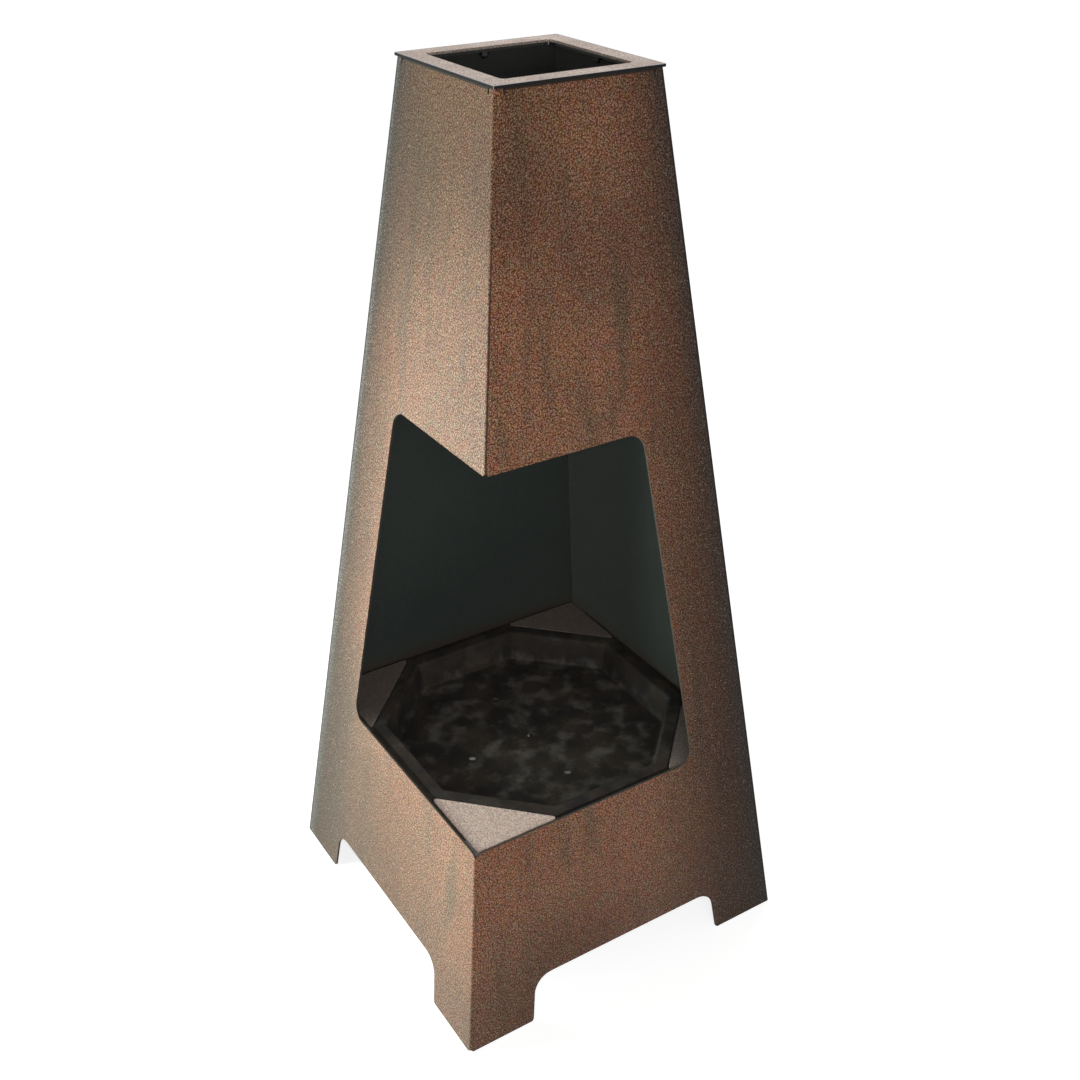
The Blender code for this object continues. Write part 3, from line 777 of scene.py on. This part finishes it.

# %% [markdown]
# ## Weathered steel: cut edges, the inside and the surface
# A cut edge is darker than the skin. Inside, below the hearth, the rust is dull and even; above it all is
# soot, and it gets greyer towards the top of the flue. The surface is rough, but the pale grains are
# smoother than the dark ones, so they catch the light that rakes along the left wall. Stained places, and
# the places painted darker towards the seams as painted shade, are rougher still.

# %% Cut edges and the sooted inside
cut = fade(tree, depth, 0.00006, 0.0002)
brown = blend(tree, cut, brown, tone(58, 46, 39))
plain_inside = blend(tree, 0.5, brown, tone(70, 56, 46))
soot_tone = blend(tree, patches, tone(48, 56, 53), tone(60, 66, 62))
soot_tone = blend(tree, fade(tree, height, 0.85, 1.12, high=0.6), soot_tone, tone(96, 96, 94))
above_hearth = fade(tree, height, 0.275, 0.31)
hidden = blend(tree, above_hearth, plain_inside, soot_tone)
inside = fade(tree, depth, 0.0025, 0.0029)
tree.links.new(blend(tree, inside, brown, hidden), shader.inputs["Base Color"])
print("rust nodes", len(tree.nodes))

# %% Roughness and bump of the rust
# The places painted darker towards the seams as painted shade, and the stains, are made rougher.
dull = calc(tree, "MULTIPLY", calc(tree, "MAXIMUM", painted_seam_shade, stained), 0.4)
roughness = calc(tree, "ADD", fade(tree, grit, 0.15, 0.85, low=0.66, high=0.27), dull)
tree.links.new(roughness, shader.inputs["Roughness"])
roughen(tree, shader, noise(tree, spot, 900.0), strength=0.7, distance=0.0007)
give(rust, "rust")

# %% [markdown]
# ## Dusted and top-lit steel: the ring and the corner plates
# These lie flat, so fine ash and dust settle on them, and they are also painted paler and greyer than the
# walls because they face up to the light, which is painted light. The same kind of grain is used, more
# faintly. The ring ends in a dark edge with a painted pale bluish highlight beside it. The plates are
# painted paler still, as painted light; the front one stays pale and the ones further back are dark with
# soot, which is a matter of place again: X plus Y grows from the front corner to the rear one.

# %% Finish of the ring and plates
dust_and_toplight, tree, shader, spot, parts = new_finish("dust_and_toplight_steel", specular=0.2, sheen=0.05)
on_hearth = fade(tree, parts[2], 0.3, 0.31, low=1.0, high=0.0)
on_ring = fade(tree, parts[2], 1.0, 1.01)
patches = noise(tree, spot, 22.0, detail=4.0)
# Dust, and painted light: the level steel is paler and greyer than the walls because it faces up.
pale = blend(tree, fade(tree, patches, 0.35, 0.68), tone(192, 178, 167), tone(213, 201, 191))
# Painted light: the hearth plates are painted paler still.
pale = blend(tree, on_hearth, pale, tone(238, 217, 204))
pale = grain_over(tree, pale, grains(tree, spot, 1000.0)[0], dark=0.35, pale=0.5)

from_axis = calc(tree, "MAXIMUM", *(calc(tree, "ABSOLUTE", parts[i]) for i in (0, 1)))
from_rim = calc(tree, "SUBTRACT", RING_WIDTH / 2, from_axis)
# Painted highlight: a pale bluish band along the top of the ring's outer rim.
painted_rim_highlight = calc(tree, "MULTIPLY", on_ring, fade(tree, from_rim, 0.0015, 0.005, low=0.5, high=0.0))
edge = calc(tree, "MULTIPLY", on_ring, fade(tree, from_rim, 0.0002, 0.0005, low=1.0, high=0.0))
pale = blend(tree, painted_rim_highlight, pale, tone(186, 188, 194))
pale = blend(tree, edge, pale, tone(14, 14, 15))
backwards = calc(tree, "ADD", parts[0], parts[1])
sooted = calc(tree, "MULTIPLY", fade(tree, backwards, -0.29, -0.05, high=0.85), on_hearth)
pale = blend(tree, sooted, pale, tone(60, 56, 52))
tree.links.new(pale, shader.inputs["Base Color"])

gritty = noise(tree, spot, 800.0, detail=3.0)
tree.links.new(fade(tree, gritty, 0.3, 0.7, low=0.6, high=0.8), shader.inputs["Roughness"])
roughen(tree, shader, gritty, strength=0.25, distance=0.0003)
give(dust_and_toplight, "dust_and_toplight")

# %% [markdown]
# ## Sooted steel: the pan and the angles
# Steel that has been hot many times is nearly black, with flaked scale in darker and browner patches and
# a thin grey film of ash where it lies flat. Cracked-looking scale comes from cells whose edges are
# slightly lower, and the ash comes from noise that shows most near the pan's floor.

# %% Finish of the pan and angles
soot, tree, shader, spot, parts = new_finish("sooted_steel", specular=0.3)
patches = noise(tree, spot, 26.0, detail=5.0)
flakes = put(tree, "TexVoronoi", {"Vector": spot, "Scale": 190.0}, feature="DISTANCE_TO_EDGE").outputs[0]
ash = calc(tree, "MULTIPLY", fade(tree, noise(tree, spot, 40.0, detail=6.0), 0.45, 0.75, high=0.55),
           fade(tree, parts[2], 0.247, 0.262, low=1.0, high=0.25))
black = blend(tree, fade(tree, patches, 0.35, 0.7), tone(38, 37, 35), tone(66, 56, 48))
black = blend(tree, fade(tree, flakes, 0.0, 0.08, low=0.5, high=0.0), black, tone(24, 23, 22))
black = blend(tree, ash, black, tone(128, 122, 114))
tree.links.new(black, shader.inputs["Base Color"])
tree.links.new(fade(tree, patches, 0.3, 0.7, low=0.62, high=0.9), shader.inputs["Roughness"])
roughen(tree, shader, fade(tree, flakes, 0.0, 0.12), strength=0.3, distance=0.0004)
give(soot, "soot")

# %% [markdown]
# ## Zinc: the studs and nuts
# The fasteners are plated, and heat and damp have dulled them. The metal stays metal, with cloudy grey
# patches that also change its roughness and a little brown bleeding in from the sheet. Those above the
# hearth are dark with soot.

# %% Finish of the fasteners
zinc, tree, shader, spot, parts = new_finish("zinc_steel", specular=0.5, metallic=0.85)
clouds = noise(tree, spot, 420.0, detail=4.0)
stains = noise(tree, spot, 150.0, detail=3.0, offset=(0.3, 0.8, 0.1))
grey = blend(tree, fade(tree, clouds, 0.35, 0.7), tone(122, 121, 118), tone(164, 163, 158))
grey = blend(tree, fade(tree, stains, 0.52, 0.72, high=0.6), grey, tone(112, 84, 62))
grey = blend(tree, fade(tree, parts[2], 0.28, 0.34, high=0.9), grey, tone(64, 64, 62))
tree.links.new(grey, shader.inputs["Base Color"])
tree.links.new(fade(tree, clouds, 0.3, 0.75, low=0.38, high=0.62), shader.inputs["Roughness"])
give(zinc, "zinc")

# %% [markdown]
# ## Floor, world and lamps
# A white floor and a white world stand behind the tower. Seen by the camera or in a reflection they are
# white, and for the light that falls on the steel they are a plain soft fill. The floor that is seen glows
# by itself and is lit by the lamps as well, so the tower keeps a light soft shadow. The glow grows with the
# distance, until the floor is as white as the world. Under the tower, away from its front corner, and a
# little way past its back, a painted shadow takes away both the glow and the floor's grey. Three softboxes
# light the steel: one on the left rakes along the left wall and gives it its pale sheen, a weak one stands
# in front, and a large one hangs above.

# %% A white floor that keeps a shadow
FLOOR_SIZE, FLOOR_Z = 40.0, -0.0005
FLOOR_GREY = 0.5


def seen_directly(tree):
    """1 for camera, mirror and see-through rays, 0 for the rest."""
    path = put(tree, "LightPath", {}).outputs
    rays = calc(tree, "ADD", path["Is Camera Ray"], path["Is Glossy Ray"], path["Is Transmission Ray"])
    return calc(tree, "MINIMUM", rays, 1.0)


only(camera)
bpy.ops.mesh.primitive_plane_add(size=FLOOR_SIZE, location=(0, 0, FLOOR_Z))
floor = settle(bpy.context.object, "floor")
paper = bpy.data.materials.new("white_paper")
paper.use_nodes = True
tree = paper.node_tree
tree.nodes.clear()
spot = put(tree, "TexCoord", {}).outputs["Object"]
place = put(tree, "SeparateXYZ", {0: spot}).outputs
reach = calc(tree, "MAXIMUM", calc(tree, "MULTIPLY", calc(tree, "ABSOLUTE", place[0]), 1.1),
             calc(tree, "MULTIPLY", calc(tree, "ABSOLUTE", place[1]), 0.93))
# Painted shadow: under the tower, away from its front corner, the floor's glow and grey are taken away.
under = calc(
    tree, "MULTIPLY",
    fade(tree, reach, 0.245, 0.28, low=0.9, high=0.0),
    fade(tree, place[0], -0.21, -0.14),
    fade(tree, place[1], -0.19, -0.12),
)
open_floor = calc(tree, "SUBTRACT", 1.0, under)
print("floor", FLOOR_SIZE, "m wide")

# %% Join the floor's two faces
away = put(tree, "VectorMath", {0: spot}, operation="LENGTH").outputs["Value"]
glow = calc(tree, "MULTIPLY", open_floor, fade(tree, away, 0.7, 2.2, low=0.82, high=0.95))
white = put(tree, "Emission", {"Color": (1, 1, 1, 1), "Strength": glow}).outputs[0]
faint = put(tree, "BsdfDiffuse", {"Color": calc(tree, "MULTIPLY", open_floor, FLOOR_GREY)}).outputs[0]
shown = put(tree, "AddShader", {0: faint, 1: white}).outputs[0]
plain = put(tree, "BsdfDiffuse", {"Color": (FLOOR_GREY, FLOOR_GREY, FLOOR_GREY, 1.0)}).outputs[0]
surface = put(tree, "MixShader", {0: seen_directly(tree), 1: plain, 2: shown}).outputs[0]
put(tree, "OutputMaterial", {"Surface": surface})
floor.data.materials.append(paper)
print("floor nodes", len(tree.nodes))

# %% A white world with a plain fill
FILL = 0.20
world = bpy.data.worlds.new("studio")
bpy.context.scene.world = world
world.use_nodes = True
tree = world.node_tree
tree.nodes.clear()
fill = put(tree, "Background", {"Color": (1, 1, 1, 1), "Strength": FILL}).outputs[0]
white = put(tree, "Background", {"Color": (1, 1, 1, 1), "Strength": 1.0}).outputs[0]
surface = put(tree, "MixShader", {0: seen_directly(tree), 1: fill, 2: white}).outputs[0]
put(tree, "OutputWorld", {"Surface": surface})
print("world fill", FILL)

# %% Softboxes
def softbox(name, place, target, size, watts, colour=(1.0, 1.0, 1.0)):
    """A square lamp of this size that looks at a point."""
    only(camera)
    bpy.ops.object.light_add(type="AREA", location=place)
    lamp = bpy.context.object
    lamp.name = name
    lamp.data.shape = "SQUARE"
    lamp.data.size = size
    lamp.data.energy = watts
    lamp.data.color = colour
    lamp.visible_camera = False
    lamp.rotation_euler = (Vector(target) - Vector(place)).to_track_quat("-Z", "Y").to_euler()
    print("lamp", name, watts, "W")


softbox("key_left", (-0.95, 0.5, 0.42), (-0.18, -0.1, 0.55), 0.6, 18.8, (0.885, 1.0, 0.925))
softbox("front_soft", (-0.6, -1.45, 1.1), (-0.05, -0.15, 0.4), 0.8, 8.5)
softbox("top_soft", (0.6, 1.0, 2.6), (0.0, 0.0, 0.6), 1.4, 22.0)
bpy.context.scene.view_settings.view_transform = "Standard"
